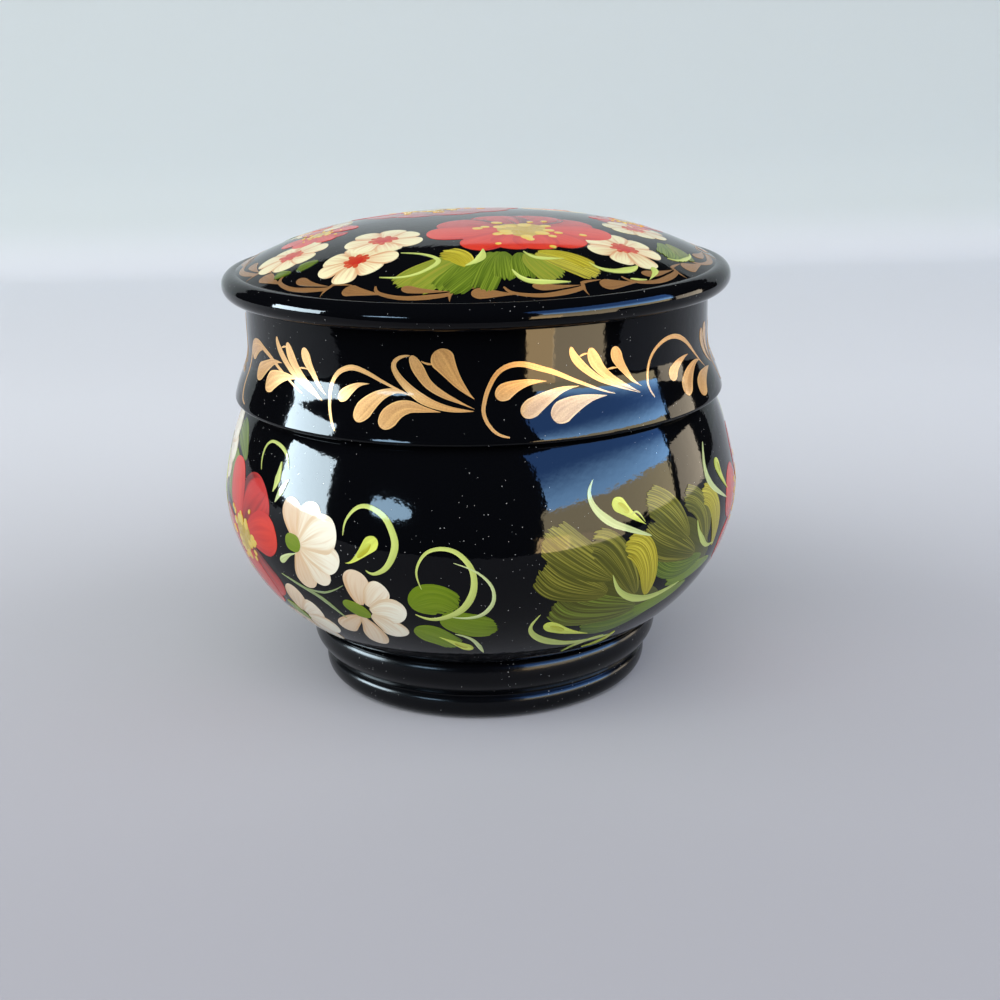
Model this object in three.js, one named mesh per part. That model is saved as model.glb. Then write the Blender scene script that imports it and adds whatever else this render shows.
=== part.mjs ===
// A lacquer trinket box turned from lime wood in two pieces: a footed bowl and a lift-off lid.
// The lid's rebate drops over a tenon on the bowl, and its lip rests on the bowl's shoulder.
// Millimetres, +Z up, origin at the middle of the ring that the foot stands on.

import * as THREE from 'three';

// Foot of the bowl
const footRingRadius = 24.8;      // outer edge of the flat ring that the box stands on
const recessRadius = 19;          // hollow turned in the underside
const recessDepth = 1;
const recessFillet = 0.8;
const footLipRadius = 28.4;       // lip round the bottom, narrower than the bead
const footLipHeight = 3;          // up to the lip's widest line
const footLipRounding = 0.9;
const footWaistDepth = 0.5;       // the side turns in above the lip before it widens to the bead
const footBeadRun = 2.5;          // upright stretch below the bead
const footBeadRadius = 30.3;      // upper edge, a soft bead below the bowl
const footBeadHeight = 2.2;
const footHeight = 10.9;

// Outside of the bowl
const bowlBaseRadius = 29.2;      // where the bowl meets the top of the foot
const bellyRadius = 44;
const bellyRise = 23.5;           // foot top up to the widest line
const shoulderRise = 15.9;        // widest line up to the seat of the lid
const shoulderRadius = 39.2;      // where the wall rounds over onto the seat

// Tenon and inside of the bowl
const seatWidth = 3.2;            // flat shoulder outside the tenon
const tenonHeight = 6;
const tenonWall = 3.5;
const tenonChamfer = 0.6;
const bellyWall = 6.2;
const floorThickness = 9.5;       // wood under the bowl's floor
const floorFlatRadius = 19;       // flat part of the floor

// Fit of the lid on the tenon
const fitClearance = 0.3;         // radial, all round
const topClearance = 0.4;         // above the tenon

// Outside of the lid, with heights from the seat
const lipRadius = 41.4;
const lipRounding = 0.5;          // a crisp lower edge
const lipLean = 14;               // degrees that the side leans in already at the lip
const flareHeight = 9.7;          // the collar draws in from the lip to the neck
const neckRadius = 38.8;
const neckHeight = 7.4;           // straight neck, up to the underside of the rim
const rimRadius = 42.5;
const rimThickness = 4.2;         // round bead, top to bottom
const domeRise = 7.6;             // rim top up to the middle of the dome

// Inside of the lid
const domeWall = 6;               // wood at the middle of the dome
const ceilingDrop = 3.6;          // the ceiling is lower by this at its edge
const ceilingFillet = 4;

// Shapes of the free curves, as shares of the rise or width of each stretch
const footWaistSlope = 0.8;       // rise for each millimetre inwards at the top of the foot's lip
const footWaistReach = 2.2;       // how far the waist's curve carries on the way of the lip's top
const bellyUpperFullness = 0.22;
const bellyShoulderLean = 0.38;
const bellyShoulderDrop = 0.06;
const bellyLowerFullness = 0.53;
const bellyFootLean = 0.35;
const bellyFootLift = 0.1;
const hollowUpperFullness = 0.48;
const hollowMouthDrop = 0.3;
const flareFullness = 0.45;
const domeFlatness = 0.55;
const domeEdgeShare = 0.23;
const domeEdgeSlope = 0.53;       // fall for each millimetre outwards where the dome meets the rim
const rimCreaseAngle = 100;       // degrees round the bead, up to the crease at the dome

// Facets
const turnSegments = 60;
const filletSteps = 3;
const bendSteps = 5;
const curveSteps = 7;
const sweepSteps = 10;

// Sizes that follow from the values above
const bellyHeight = footHeight + bellyRise;
const seatHeight = bellyHeight + shoulderRise;
const tenonRadius = shoulderRadius - seatWidth;
const mouthRadius = tenonRadius - tenonWall;
const rebateRadius = tenonRadius + fitClearance;
const rebateDepth = tenonHeight + topClearance;
const collarHeight = flareHeight + neckHeight;
const rimBeadRadius = rimThickness / 2;
const domeTop = collarHeight + rimThickness + domeRise;

function at(radius, height) {
  return new THREE.Vector2(radius, height);
}

function bend(start, handle, end, steps) {
  return new THREE.QuadraticBezierCurve(start, handle, end).getPoints(steps);
}

function sweep(start, firstHandle, secondHandle, end, steps) {
  return new THREE.CubicBezierCurve(start, firstHandle, secondHandle, end).getPoints(steps);
}

function arcAbout(centre, radius, startDegrees, endDegrees, steps) {
  const start = THREE.MathUtils.degToRad(startDegrees);
  const end = THREE.MathUtils.degToRad(endDegrees);
  return new THREE.EllipseCurve(centre.x, centre.y, radius, radius, start, end).getPoints(steps);
}

// Revolve a profile of radius and height about Z, without points that repeat where stretches meet
function turnedGeometry(profile) {
  const samePlace = 1e-4;
  const points = profile.filter((point, i) => i === 0 || point.distanceTo(profile[i - 1]) > samePlace);
  return new THREE.LatheGeometry(points, turnSegments).rotateX(Math.PI / 2);
}

// The bowl's profile runs out under the foot, up the outside, over the tenon and down the inside
function footStretch() {
  const beadStart = footHeight - footBeadHeight;
  const lipSide = at(footLipRadius, footLipHeight);
  const lipCorner = at(footLipRadius, footLipHeight + footLipRounding);
  const lipTop = at(footLipRadius - footWaistDepth, lipCorner.y + footWaistSlope * footWaistDepth);
  return [
    at(0, recessDepth),
    ...bend(
      at(recessRadius - recessFillet, recessDepth), at(recessRadius, recessDepth),
      at(recessRadius, 0), filletSteps),
    ...bend(at(footRingRadius, 0), at(footLipRadius, 0), lipSide, bendSteps),
    ...bend(lipSide, lipCorner, lipTop, filletSteps),
    ...sweep(
      lipTop, lipCorner.clone().lerp(lipTop, footWaistReach),
      at(footBeadRadius, beadStart - footBeadRun), at(footBeadRadius, beadStart), curveSteps),
    ...bend(
      at(footBeadRadius, beadStart), at(footBeadRadius, footHeight),
      at(bowlBaseRadius, footHeight), filletSteps),
  ];
}

function bellyStretch() {
  const bulgeAtFoot = bellyRadius - bowlBaseRadius;
  const bulgeAtShoulder = bellyRadius - shoulderRadius;
  return [
    ...sweep(
      at(bowlBaseRadius, footHeight),
      at(bowlBaseRadius + bellyFootLean * bulgeAtFoot, footHeight + bellyFootLift * bellyRise),
      at(bellyRadius, bellyHeight - bellyLowerFullness * bellyRise),
      at(bellyRadius, bellyHeight), sweepSteps),
    ...sweep(
      at(bellyRadius, bellyHeight),
      at(bellyRadius, bellyHeight + bellyUpperFullness * shoulderRise),
      at(
        shoulderRadius + bellyShoulderLean * bulgeAtShoulder,
        seatHeight - bellyShoulderDrop * shoulderRise),
      at(shoulderRadius, seatHeight), sweepSteps),
  ];
}

function tenonStretch() {
  const tenonTop = seatHeight + tenonHeight;
  return [
    at(tenonRadius, seatHeight),
    at(tenonRadius, tenonTop - tenonChamfer),
    at(tenonRadius - tenonChamfer, tenonTop),
    at(mouthRadius + tenonChamfer, tenonTop),
    at(mouthRadius, tenonTop - tenonChamfer),
    at(mouthRadius, seatHeight),
  ];
}

function hollowStretch() {
  const hollowRadius = bellyRadius - bellyWall;
  const undercut = hollowRadius - mouthRadius;
  const hollowDepth = bellyHeight - floorThickness;
  return [
    ...sweep(
      at(mouthRadius, seatHeight),
      at(mouthRadius + hollowUpperFullness * undercut, seatHeight - hollowMouthDrop * shoulderRise),
      at(hollowRadius, bellyHeight + hollowUpperFullness * shoulderRise),
      at(hollowRadius, bellyHeight), curveSteps),
    ...sweep(
      at(hollowRadius, bellyHeight),
      at(hollowRadius, bellyHeight - bellyLowerFullness * hollowDepth),
      at((floorFlatRadius + hollowRadius) / 2, floorThickness),
      at(floorFlatRadius, floorThickness), sweepSteps),
    at(0, floorThickness),
  ];
}

// The lid's profile runs from the middle of its ceiling, down the inside and up the outside
function lidHollowStretch() {
  const ceilingTop = domeTop - domeWall;
  const ceilingEdge = at(mouthRadius - ceilingFillet, ceilingTop - ceilingDrop);
  return [
    ...bend(at(0, ceilingTop), at(ceilingEdge.x / 2, ceilingTop), ceilingEdge, curveSteps),
    ...bend(
      ceilingEdge, at(mouthRadius, ceilingEdge.y),
      at(mouthRadius, ceilingEdge.y - ceilingFillet), filletSteps),
    at(mouthRadius, rebateDepth),
    at(rebateRadius, rebateDepth),
    at(rebateRadius, 0),
  ];
}

function collarStretch() {
  const lip = arcAbout(at(lipRadius - lipRounding, lipRounding), lipRounding, -90, lipLean, bendSteps);
  const lipTop = lip[lip.length - 1];
  const handle = flareFullness * (flareHeight - lipTop.y);
  const alongLip = at(0, handle).rotateAround(at(0, 0), THREE.MathUtils.degToRad(lipLean));
  return [
    ...lip,
    ...sweep(
      lipTop, lipTop.clone().add(alongLip),
      at(neckRadius, flareHeight - handle), at(neckRadius, flareHeight), curveSteps),
    at(neckRadius, collarHeight),
  ];
}

function rimAndDomeStretch() {
  const beadCentre = at(rimRadius - rimBeadRadius, collarHeight + rimBeadRadius);
  const bead = arcAbout(beadCentre, rimBeadRadius, -90, rimCreaseAngle, sweepSteps);
  const crease = bead[bead.length - 1];
  const edgeRun = domeEdgeShare * crease.x;
  return [
    ...bead,
    ...sweep(
      crease, at(crease.x - edgeRun, crease.y + domeEdgeSlope * edgeRun),
      at(domeFlatness * crease.x, domeTop), at(0, domeTop), sweepSteps),
  ];
}

const blackLacquer = new THREE.MeshStandardMaterial({ color: 0x08080a, roughness: 0.1, metalness: 0 });

const bowl = new THREE.Mesh(
  turnedGeometry([...footStretch(), ...bellyStretch(), ...tenonStretch(), ...hollowStretch()]),
  blackLacquer,
);
bowl.name = 'bowl';

const lid = new THREE.Mesh(
  turnedGeometry([...lidHollowStretch(), ...collarStretch(), ...rimAndDomeStretch()]),
  blackLacquer.clone(),
);
lid.name = 'lid';
lid.position.z = seatHeight;

const trinketBox = new THREE.Group();
trinketBox.add(bowl, lid);

export default trinketBox;
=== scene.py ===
import bisect
import math
import random

import bmesh
import bpy
from mathutils import Matrix, Vector
from mathutils.geometry import interpolate_bezier


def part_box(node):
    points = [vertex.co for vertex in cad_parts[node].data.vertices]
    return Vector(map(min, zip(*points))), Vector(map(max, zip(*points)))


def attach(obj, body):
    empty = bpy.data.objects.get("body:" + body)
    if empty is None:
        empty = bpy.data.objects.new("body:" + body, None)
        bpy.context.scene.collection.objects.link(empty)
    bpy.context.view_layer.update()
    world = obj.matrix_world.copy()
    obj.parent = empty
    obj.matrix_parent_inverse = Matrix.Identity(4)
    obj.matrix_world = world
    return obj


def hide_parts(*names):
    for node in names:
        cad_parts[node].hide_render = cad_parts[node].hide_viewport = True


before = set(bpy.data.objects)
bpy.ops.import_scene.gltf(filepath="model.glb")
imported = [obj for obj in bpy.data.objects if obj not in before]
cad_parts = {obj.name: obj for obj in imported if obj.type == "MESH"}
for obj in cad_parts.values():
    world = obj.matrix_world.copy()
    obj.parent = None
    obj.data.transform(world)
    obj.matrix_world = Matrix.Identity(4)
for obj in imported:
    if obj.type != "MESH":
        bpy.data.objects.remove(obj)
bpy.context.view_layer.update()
random.seed(11)
mm = 0.001
print("frame loaded:", sorted(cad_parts))

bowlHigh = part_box("bowl")[1]
lidLow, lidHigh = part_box("lid")


# Small helpers for sizes, colours and meshes

def inMillimetres(metres):
    return metres / mm


def screenColour(red, green, blue):
    shares = [channel / 255 for channel in (red, green, blue)]
    linear = [c / 12.92 if c <= 0.04045 else ((c + 0.055) / 1.055) ** 2.4 for c in shares]
    return (*linear, 1.0)


def mixColour(first, second, share):
    return tuple(a + (b - a) * share for a, b in zip(first, second))


def meshPiece(name, shape):
    mesh = bpy.data.meshes.new(name)
    shape.to_mesh(mesh)
    shape.free()
    piece = bpy.data.objects.new(name, mesh)
    bpy.context.scene.collection.objects.link(piece)
    return piece


# Turned profiles: radius in x and height in z, in millimetres

def spot(radius, height):
    return Vector((radius, 0, height))


def sweep(start, firstHandle, secondHandle, end, steps):
    return interpolate_bezier(start, firstHandle, secondHandle, end, steps + 1)


def bend(start, corner, end, steps):
    return sweep(start, start.lerp(corner, 2 / 3), end.lerp(corner, 2 / 3), end, steps)


def arc(centre, radius, startDegrees, endDegrees, steps):
    turns = [math.radians(startDegrees + (endDegrees - startDegrees) * i / steps) for i in range(steps + 1)]
    return [centre + spot(radius * math.cos(turn), radius * math.sin(turn)) for turn in turns]


bowlSizes = {
    "footRingRadius": 24.8, "recessRadius": 19, "recessDepth": 1, "recessFillet": 0.8,
    "footLipRadius": 28.4, "footLipHeight": 3, "footLipRounding": 0.9,
    "footWaistDepth": 0.5, "footWaistSlope": 0.8, "footWaistReach": 2.2,
    "footBeadRun": 2.5, "footBeadRadius": 30.3, "footBeadHeight": 2.2, "footHeight": 10.9,
    "baseRadius": 29.2, "bellyRadius": inMillimetres(bowlHigh.x), "bellyRise": 23.5,
    "seatHeight": inMillimetres(lidLow.z), "shoulderRadius": 39.2, "shoulderEdge": 0.3,
    "tenonTop": inMillimetres(bowlHigh.z), "tenonRadius": 36, "mouthRadius": 32.5, "tenonChamfer": 0.6,
    "bellyWall": 6.2, "floorThickness": 9.5, "floorFlatRadius": 19,
    "upperFullness": 0.22, "shoulderLean": 0.38, "shoulderDrop": 0.06,
    "lowerFullness": 0.53, "footLean": 0.35, "footLift": 0.1,
    "hollowFullness": 0.48, "hollowMouthDrop": 0.3,
}
bowlSteps = {
    "flat": 12, "recess": 5, "ring": 12, "lip": 8, "waist": 16, "bead": 10,
    "lowerWall": 40, "upperWall": 32, "hollowTop": 16, "hollow": 24,
}


def bowlOutside(size):
    foot, seat = size["footHeight"], size["seatHeight"]
    belly = foot + size["bellyRise"]
    rise = seat - belly
    widest, base, shoulder = size["bellyRadius"], size["baseRadius"], size["shoulderRadius"]
    lower = sweep(
        spot(base, foot),
        spot(base + size["footLean"] * (widest - base), foot + size["footLift"] * size["bellyRise"]),
        spot(widest, belly - size["lowerFullness"] * size["bellyRise"]), spot(widest, belly),
        bowlSteps["lowerWall"])
    upper = sweep(
        spot(widest, belly), spot(widest, belly + size["upperFullness"] * rise),
        spot(shoulder + size["shoulderLean"] * (widest - shoulder), seat - size["shoulderDrop"] * rise),
        spot(shoulder, seat), bowlSteps["upperWall"])
    return lower + upper[1:]


def bowlProfile(size):
    steps = bowlSteps
    belly = size["footHeight"] + size["bellyRise"]
    seat = size["seatHeight"]
    rise = seat - belly
    recess, deep, fillet = size["recessRadius"], size["recessDepth"], size["recessFillet"]
    mouth, tenon = size["mouthRadius"], size["tenonRadius"]
    top, chamfer = size["tenonTop"], size["tenonChamfer"]
    hollow = size["bellyRadius"] - size["bellyWall"]
    floor, flat = size["floorThickness"], size["floorFlatRadius"]
    lipSide = spot(size["footLipRadius"], size["footLipHeight"])
    lipCorner = lipSide + spot(0, size["footLipRounding"])
    lipTop = lipCorner + spot(-1, size["footWaistSlope"]) * size["footWaistDepth"]
    bead = spot(size["footBeadRadius"], size["footHeight"] - size["footBeadHeight"])
    baseEdge = spot(size["baseRadius"], size["footHeight"])
    points = [spot(recess * i / steps["flat"], deep) for i in range(steps["flat"])]
    points += bend(spot(recess - fillet, deep), spot(recess, deep), spot(recess, 0), steps["recess"])
    points += bend(spot(size["footRingRadius"], 0), spot(lipSide.x, 0), lipSide, steps["ring"])
    points += bend(lipSide, lipCorner, lipTop, steps["lip"])
    points += sweep(
        lipTop, lipCorner.lerp(lipTop, size["footWaistReach"]), bead - spot(0, size["footBeadRun"]), bead,
        steps["waist"])
    points += bend(bead, spot(bead.x, size["footHeight"]), baseEdge, steps["bead"])
    points += bowlOutside(size)
    points += [spot(size["shoulderRadius"] - size["shoulderEdge"], seat), spot(tenon, seat)]
    points += [spot(tenon, top - chamfer), spot(tenon - chamfer, top)]
    points += [spot(mouth + chamfer, top), spot(mouth, top - chamfer)]
    points += sweep(
        spot(mouth, seat),
        spot(mouth + size["hollowFullness"] * (hollow - mouth), seat - size["hollowMouthDrop"] * rise),
        spot(hollow, belly + size["hollowFullness"] * rise), spot(hollow, belly), steps["hollowTop"])
    points += sweep(
        spot(hollow, belly), spot(hollow, belly - size["lowerFullness"] * (belly - floor)),
        spot((flat + hollow) / 2, floor), spot(flat, floor), steps["hollow"])
    points += [spot(flat * (1 - i / steps["flat"]), floor) for i in range(1, steps["flat"] + 1)]
    return points


lidSizes = {
    "seatHeight": inMillimetres(lidLow.z), "domeTop": inMillimetres(lidHigh.z),
    "lipRadius": 41.4, "lipRounding": 0.5, "lipLean": 14, "flareHeight": 9.7, "flareFullness": 0.45,
    "neckRadius": 38.8, "neckHeight": 7.4, "rimRadius": inMillimetres(lidHigh.x), "rimThickness": 4.2,
    "rimCreaseAngle": 100, "domeFlatness": 0.55, "domeEdgeShare": 0.23, "domeEdgeSlope": 0.53,
    "rebateRadius": 36.3, "rebateDepth": 6.4, "boreRadius": 32.5,
    "domeWall": 6, "ceilingDrop": 3.6, "ceilingFillet": 4,
}
lidSteps = {"ceiling": 16, "fillet": 8, "lip": 10, "flare": 24, "neck": 8, "rim": 28, "dome": 48}


def collarOutside(size):
    seat = size["seatHeight"]
    neck, rounding = size["neckRadius"], size["lipRounding"]
    flareTop = seat + size["flareHeight"]
    lipCentre = spot(size["lipRadius"] - rounding, seat + rounding)
    points = arc(lipCentre, rounding, -90, size["lipLean"], lidSteps["lip"])
    handle = size["flareFullness"] * (flareTop - points[-1].z)
    lean = math.radians(size["lipLean"])
    points += sweep(
        points[-1], points[-1] + spot(-math.sin(lean), math.cos(lean)) * handle,
        spot(neck, flareTop - handle), spot(neck, flareTop), lidSteps["flare"])[1:]
    rows = lidSteps["neck"]
    points += [spot(neck, flareTop + size["neckHeight"] * i / rows) for i in range(1, rows + 1)]
    return points


def domeOutside(size):
    beadRadius = size["rimThickness"] / 2
    collarTop = size["seatHeight"] + size["flareHeight"] + size["neckHeight"]
    beadCentre = spot(size["rimRadius"] - beadRadius, collarTop + beadRadius)
    bead = arc(beadCentre, beadRadius, -90, size["rimCreaseAngle"], lidSteps["rim"])
    crease = bead[-1]
    run = size["domeEdgeShare"] * crease.x
    dome = sweep(
        crease, spot(crease.x - run, crease.z + size["domeEdgeSlope"] * run),
        spot(size["domeFlatness"] * crease.x, size["domeTop"]), spot(0, size["domeTop"]), lidSteps["dome"])
    return bead, dome


def lidProfile(size):
    seat, bore = size["seatHeight"], size["boreRadius"]
    ceilingTop = size["domeTop"] - size["domeWall"]
    edge = spot(bore - size["ceilingFillet"], ceilingTop - size["ceilingDrop"])
    points = bend(spot(0, ceilingTop), spot(edge.x / 2, ceilingTop), edge, lidSteps["ceiling"])
    points += bend(edge, spot(bore, edge.z), spot(bore, edge.z - size["ceilingFillet"]), lidSteps["fillet"])
    ledge = seat + size["rebateDepth"]
    points += [spot(bore, ledge), spot(size["rebateRadius"], ledge), spot(size["rebateRadius"], seat)]
    bead, dome = domeOutside(size)
    return points + collarOutside(size) + bead + dome[1:]


turning = {                         # slacks are how far a face's middle may miss its line, in millimetres
    "segments": 160, "samePlace": 1e-4, "weld": 1e-7, "sharpAngle": 32, "rubbedReach": 0.9,
    "slack": 0.1, "seatSlack": 0.2, "floorSlack": 0.5, "facingIn": -1e-6, "facingDown": -0.9,
    "tenonInset": 0.3, "ringInset": 0.4,
}


def turnedMesh(name, profile):
    shape = bmesh.new()
    chain = [shape.verts.new(profile[0] * mm)]
    for before, point in zip(profile, profile[1:]):
        if (point - before).length > turning["samePlace"]:
            chain.append(shape.verts.new(point * mm))
    edges = [shape.edges.new(pair) for pair in zip(chain, chain[1:])]
    bmesh.ops.spin(
        shape, geom=chain + edges, cent=(0, 0, 0), axis=(0, 0, 1), dvec=(0, 0, 0),
        angle=math.tau, steps=turning["segments"], use_merge=True)
    bmesh.ops.remove_doubles(shape, verts=shape.verts, dist=turning["weld"])
    bmesh.ops.recalc_face_normals(shape, faces=shape.faces)
    for face in shape.faces:
        face.smooth = True
    piece = meshPiece(name, shape)
    piece.data.set_sharp_from_angle(angle=math.radians(turning["sharpAngle"]))
    return piece


# Materials: an input takes a value or another node's output

noiseRange = (0.3, 0.7)             # most of a noise lies between these


def plug(tree, sockets, inputs):
    for key, value in inputs.items():
        if hasattr(value, "is_output"):
            tree.links.new(value, sockets[key])
        else:
            sockets[key].default_value = value


def addNode(tree, kind, inputs=None, **settings):
    node = tree.nodes.new(kind)
    for key, value in settings.items():
        setattr(node, key, value)
    plug(tree, node.inputs, inputs or {})
    return node


def addMath(tree, operation, first, second=0.0):
    return addNode(tree, "ShaderNodeMath", {0: first, 1: second}, operation=operation).outputs[0]


def addRange(tree, value, low, high, newLow=0.0, newHigh=1.0, smooth=False):
    inputs = {"Value": value, "From Min": low, "From Max": high, "To Min": newLow, "To Max": newHigh}
    kind = "SMOOTHSTEP" if smooth else "LINEAR"
    return addNode(tree, "ShaderNodeMapRange", inputs, interpolation_type=kind).outputs["Result"]


def addMix(tree, share, first, second):
    return addNode(tree, "ShaderNodeMix", {0: share, 6: first, 7: second}, data_type="RGBA").outputs[2]


def addNoise(tree, place, scale, detail=2.0):
    inputs = {"Vector": place, "Scale": scale, "Detail": detail}
    return addNode(tree, "ShaderNodeTexNoise", inputs).outputs["Fac"]


def addBump(tree, height, strength, distance):
    inputs = {"Height": height, "Strength": strength, "Distance": distance}
    return addNode(tree, "ShaderNodeBump", inputs).outputs["Normal"]


def addParts(tree, vector):
    return addNode(tree, "ShaderNodeSeparateXYZ", {0: vector}).outputs


def addVector(tree, **parts):
    return addNode(tree, "ShaderNodeCombineXYZ", parts).outputs[0]


def addAttribute(tree, name):
    return addNode(tree, "ShaderNodeAttribute", attribute_name=name, attribute_type="GEOMETRY").outputs


def objectPlace(tree):
    return addNode(tree, "ShaderNodeTexCoord").outputs["Object"]


def strokePlace(tree):
    return addNode(tree, "ShaderNodeUVMap", uv_map="stroke").outputs["UV"]


def fromMiddle(tree, across):
    return addMath(tree, "ABSOLUTE", addMath(tree, "SUBTRACT", across, 0.5))


def newMaterial(name):
    material = bpy.data.materials.new(name)
    material.use_nodes = True
    tree = material.node_tree
    return material, tree, tree.nodes["Principled BSDF"].inputs


def newGroup(name, vector, numbers, results):
    group = bpy.data.node_groups.new(name, "ShaderNodeTree")
    group.interface.new_socket(vector, in_out="INPUT", socket_type="NodeSocketVector")
    for number in numbers:
        group.interface.new_socket(number, in_out="INPUT", socket_type="NodeSocketFloat")
    for result in results:
        group.interface.new_socket(result, in_out="OUTPUT", socket_type="NodeSocketFloat")
    return group, addNode(group, "NodeGroupInput").outputs, addNode(group, "NodeGroupOutput").inputs


def useGroup(tree, group, **inputs):
    return addNode(tree, "ShaderNodeGroup", inputs, node_tree=group).outputs


# Marks that run round the turned wood: fine along the profile, slow round the axis, with no seam
def makeTurningMarks():
    group, given, result = newGroup("turningMarks", "Place", ["Around", "Along"], ["Marks"])
    parts = addParts(group, given["Place"])
    flat = addVector(group, X=parts["X"], Y=parts["Y"])
    radius = addNode(group, "ShaderNodeVectorMath", {0: flat}, operation="LENGTH").outputs["Value"]
    direction = addNode(group, "ShaderNodeVectorMath", {0: flat}, operation="NORMALIZE").outputs[0]
    turned = addParts(group, direction)
    place = addVector(
        group, X=addMath(group, "MULTIPLY", turned["X"], given["Around"]),
        Y=addMath(group, "MULTIPLY", turned["Y"], given["Around"]),
        Z=addMath(group, "MULTIPLY", parts["Z"], given["Along"]))
    outwards = addMath(group, "MULTIPLY", radius, given["Along"])
    inputs = {"Vector": place, "W": outwards, "Scale": 1.0, "Detail": 2.0}
    noise = addNode(group, "ShaderNodeTexNoise", inputs, noise_dimensions="4D")
    plug(group, result, {"Marks": noise.outputs["Fac"]})
    return group


dustReach = (0.05, 0.13)            # smallest and largest speck, as shares of a cell


# Specks of dust caught in the varnish: a few small cells of a fine grid
def makeDust():
    group, given, result = newGroup("dustSpecks", "Place", ["Cells", "Share"], ["Specks"])
    inputs = {"Vector": given["Place"], "Scale": given["Cells"]}
    cells = addNode(group, "ShaderNodeTexVoronoi", inputs, feature="F1").outputs
    pick = addNode(group, "ShaderNodeSeparateColor", {0: cells["Color"]}).outputs
    chosen = addMath(group, "LESS_THAN", pick["Red"], given["Share"])
    near = addMath(group, "LESS_THAN", cells["Distance"], addRange(group, pick["Green"], 0, 1, *dustReach))
    plug(group, result, {"Specks": addMath(group, "MULTIPLY", chosen, near)})
    return group


bristleNoise = {                    # scale along the stroke, share of the bristles across it, and detail
    "Streaks": (1.3, 1.0, 3.0), "Grain": (9.0, 1.2, 2.0),
}
strokesApart = 83.0                 # keeps the noise of one stroke from that of the next


# Streaks that the bristles leave along a stroke, with a number of its own for each stroke
def makeBristles():
    group, given, result = newGroup("bristleStreaks", "Stroke", ["Number", "Bristles"], list(bristleNoise))
    parts = addParts(group, given["Stroke"])
    for output, (alongScale, acrossShare, detail) in bristleNoise.items():
        bristles = addMath(group, "MULTIPLY", given["Bristles"], acrossShare)
        place = addVector(
            group, X=addMath(group, "MULTIPLY", parts["X"], alongScale),
            Y=addMath(group, "MULTIPLY", parts["Y"], bristles),
            Z=addMath(group, "MULTIPLY", given["Number"], strokesApart))
        plug(group, result, {output: addRange(group, addNoise(group, place, 1.0, detail), *noiseRange)})
    return group


turningMarks = makeTurningMarks()
dustSpecks = makeDust()
bristleStreaks = makeBristles()


def addMarks(tree, place, around, along):
    return useGroup(tree, turningMarks, Place=place, Around=around, Along=along)["Marks"]


# Marks have a scale round the axis and one along the profile, and heights are in metres
lacquerLook = {
    "black": screenColour(6, 7, 10), "dust": screenColour(178, 180, 180), "scuff": screenColour(62, 63, 66),
    "roughness": (0.036, 0.05625), "index": 1.25,
    "dustCells": 1700.0, "dustPatches": 45.0, "patchRange": (0.36, 0.6), "dustShares": (0.03, 0.5),
    "scratches": (40.0, 3800.0), "scuffRange": (0.52, 0.66), "scuffTop": 0.0165, "scuffFade": 0.003,
    "footTop": 0.0112, "footFade": 0.001, "footDullness": 0.15,
    "fineMarks": (30.0, 900.0), "broadMarks": (3.0, 160.0), "broadShare": 3.0,
    "waves": 700.0, "waveDetail": 3.0, "waveShare": 2.0, "unevenness": 0.4, "relief": 0.00002,
}


def makeLacquer(name, look):
    material, tree, shader = newMaterial(name)
    place = objectPlace(tree)
    height = addParts(tree, place)["Z"]
    patches = addNoise(tree, place, look["dustPatches"])
    dustShare = addRange(tree, patches, *look["patchRange"], *look["dustShares"])
    dust = useGroup(tree, dustSpecks, Place=place, Cells=look["dustCells"], Share=dustShare)["Specks"]
    low = addRange(tree, height, look["scuffTop"], look["scuffTop"] - look["scuffFade"])
    aboveFoot = addMath(tree, "GREATER_THAN", height, look["footTop"])
    scratches = addRange(tree, addMarks(tree, place, *look["scratches"]), *look["scuffRange"])
    scuffed = addMath(tree, "MULTIPLY", addMath(tree, "MULTIPLY", scratches, low), aboveFoot)
    black = addMix(tree, scuffed, look["black"], look["scuff"])
    fine = addMarks(tree, place, *look["fineMarks"])
    broad = addMarks(tree, place, *look["broadMarks"])
    waves = addNoise(tree, place, look["waves"], look["waveDetail"])       # the coat settles a little wavy
    rings = addMath(tree, "ADD", fine, addMath(tree, "MULTIPLY", broad, look["broadShare"]))
    bumps = addMath(tree, "ADD", rings, addMath(tree, "MULTIPLY", waves, look["waveShare"]))
    rough = addRange(tree, broad, *noiseRange, *look["roughness"])
    footLine = look["footTop"] - look["footFade"]
    dull = addRange(tree, height, look["footTop"], footLine, 0, look["footDullness"])      # less polished
    plug(tree, shader, {
        "Base Color": addMix(tree, dust, black, look["dust"]),
        "Roughness": addMath(tree, "ADD", rough, dull),
        "Normal": addBump(tree, bumps, look["unevenness"], look["relief"]),
        "IOR": look["index"],
    })
    return material


# Inside and on the tenon the lacquer is thinner, and the wood shows where the lid rubs
insideLook = {
    "thinBlack": screenColour(17, 16, 17), "wood": screenColour(168, 122, 78),
    "darkWood": screenColour(96, 62, 36), "fineMarks": (2.0, 1500.0), "broadMarks": (5.0, 220.0),
    "insideWear": (0.44, 0.72), "undersideWear": (0.5, 0.8),
    "roughness": (0.28, 0.6), "unevenness": 0.5, "relief": 0.00004,
}


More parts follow.
